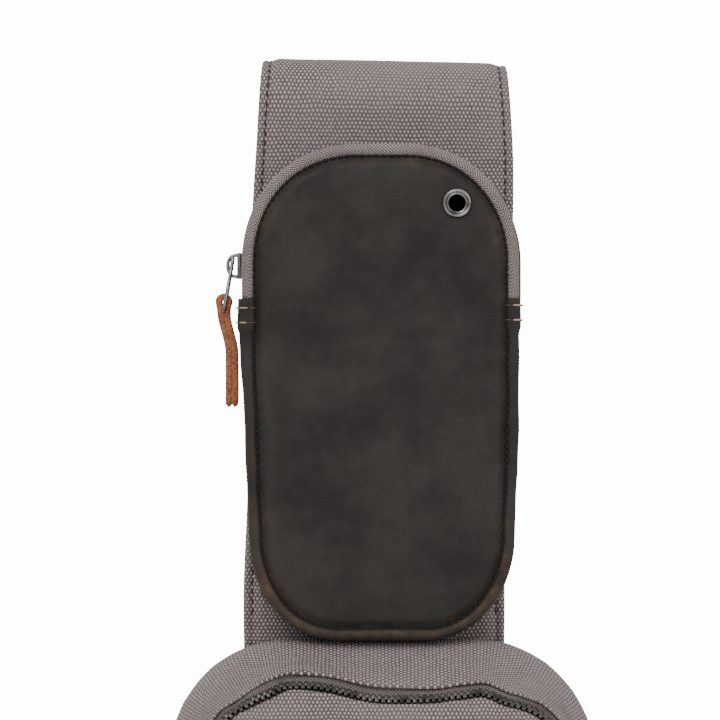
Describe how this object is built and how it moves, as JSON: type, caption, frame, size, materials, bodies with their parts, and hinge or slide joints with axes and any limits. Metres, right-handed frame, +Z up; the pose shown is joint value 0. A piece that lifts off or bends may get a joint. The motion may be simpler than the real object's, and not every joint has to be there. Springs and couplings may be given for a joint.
{
  "type": "sling bag",
  "caption": "Canvas sling bag hanging from its wide padded strap, with a zipped phone pocket with eyelet on the strap and an arched main zip on the body.",
  "frame": {"origin": "hang point on the inside of the strap's top bend, in the middle of its width", "axes": "+Z up, the front of the bag faces -Y, +X to the right as seen from the front"},
  "size_m": [0.172, 0.1343, 0.5104],
  "materials": {
    "canvas": "coarse taupe canvas",
    "leather": "waxed dark brown, worn edges",
    "tan_leather": "tan suede grain",
    "zip_tape": "taupe herringbone tape",
    "nickel": "satin nickel",
    "zip_teeth": "gunmetal teeth",
    "foam": "soft foam",
    "lining": "plain dark lining",
    "spacer_mesh": "black spacer mesh",
    "webbing": "dark taupe webbing",
    "black_plastic": "moulded acetal"
  },
  "bodies": {
    "strap": {"strap_canvas": "canvas", "strap_foam": "foam", "strap_lining": "lining", "strap_patch": "leather", "webbing_upper": "webbing", "pocket_front_panel": "leather", "pocket_gusset": "leather", "pocket_zip_tape_rear": "zip_tape", "pocket_zip_tape_front": "zip_tape", "pocket_zip_coil_rear": "zip_teeth", "pocket_zip_coil_front": "zip_teeth", "pocket_back_lining": "lining", "eyelet": "nickel", "eyelet_washer": "nickel"},
    "bag": {"upper_gusset": "canvas", "lower_gusset": "canvas", "front_panel": "canvas", "front_base_panel": "leather", "front_zip_tape_upper": "zip_tape", "front_zip_tape_lower": "zip_tape", "front_zip_coil_upper": "zip_teeth", "front_zip_coil_lower": "zip_teeth", "main_zip_tape_rear": "zip_tape", "main_zip_tape_front": "zip_tape", "main_zip_teeth_rear": "zip_teeth", "main_zip_teeth_front": "zip_teeth", "main_lining": "lining", "inner_pocket": "lining", "back_panel": "lining", "back_foam": "foam", "back_mesh_pad": "spacer_mesh", "anchor_tab": "webbing", "webbing_lower": "webbing", "webbing_return": "webbing"},
    "pocket_slider": {"pocket_slider": "nickel", "pocket_slider_bail": "nickel"},
    "pocket_link": {"pocket_pull_link": "nickel"},
    "pocket_pull": {"pocket_pull_leather": "tan_leather"},
    "main_slider": {"main_slider": "nickel", "main_slider_bail": "nickel"},
    "main_link": {"main_pull_link": "nickel"},
    "main_pull": {"main_pull_leather": "tan_leather"},
    "front_slider": {"front_slider": "nickel", "front_slider_bail": "nickel"},
    "front_pull": {"front_pull_leather": "tan_leather"},
    "triglide": {"triglide": "black_plastic"},
    "ring": {"ring": "nickel"}
  },
  "joints": [
    {"name": "bag_fold", "type": "hinge", "parent": "strap", "child": "bag", "pos_m": [0, -0.018, -0.21], "axis": [1, 0, 0], "range_deg": [0, 45], "deforming": ["webbing_upper"]},
    {"name": "pocket_zip", "type": "hinge", "parent": "strap", "child": "pocket_slider", "pos_m": [-0.0093, -0.03, -0.068], "axis": [0, 1, 0], "range_deg": [0, 90]},
    {"name": "pocket_link_swing", "type": "hinge", "parent": "pocket_slider", "child": "pocket_link", "pos_m": [-0.05472, -0.03, -0.06792], "axis": [0, 1, 0], "range_deg": [0, 110]},
    {"name": "pocket_pull_swing", "type": "hinge", "parent": "pocket_link", "child": "pocket_pull", "pos_m": [-0.05792, -0.03, -0.08604], "axis": [0, 1, 0], "range_deg": [0, 25]},
    {"name": "main_zip", "type": "slide", "parent": "bag", "child": "main_slider", "axis": [0.0653, 0.2584, 0.9638], "range_m": [0, 0.05]},
    {"name": "main_link_swing", "type": "hinge", "parent": "main_slider", "child": "main_link", "pos_m": [-0.06858, -0.0839, -0.31643], "axis": [-0.8687, 0.4901, -0.0725], "range_deg": [0, 110]},
    {"name": "main_pull_swing", "type": "hinge", "parent": "main_link", "child": "main_pull", "pos_m": [-0.07133, -0.09124, -0.33308], "axis": [-0.8687, 0.4901, -0.0725], "range_deg": [0, 25]},
    {"name": "front_zip", "type": "slide", "parent": "bag", "child": "front_slider", "axis": [1, 0, 0], "range_m": [0, 0.072]},
    {"name": "front_pull_swing", "type": "hinge", "parent": "front_slider", "child": "front_pull", "pos_m": [-0.036, -0.10608, -0.38453], "axis": [-1, 0, 0], "range_deg": [0, 80]},
    {"name": "triglide_slide", "type": "slide", "parent": "bag", "child": "triglide", "axis": [0, 0, 1], "range_m": [-0.08, 0], "deforming": ["webbing_return"]},
    {"name": "ring_swing", "type": "hinge", "parent": "bag", "child": "ring", "pos_m": [0, -0.0009, -0.476], "axis": [1, 0, 0], "range_deg": [-20, 20], "deforming": ["webbing_lower"]}
  ]
}
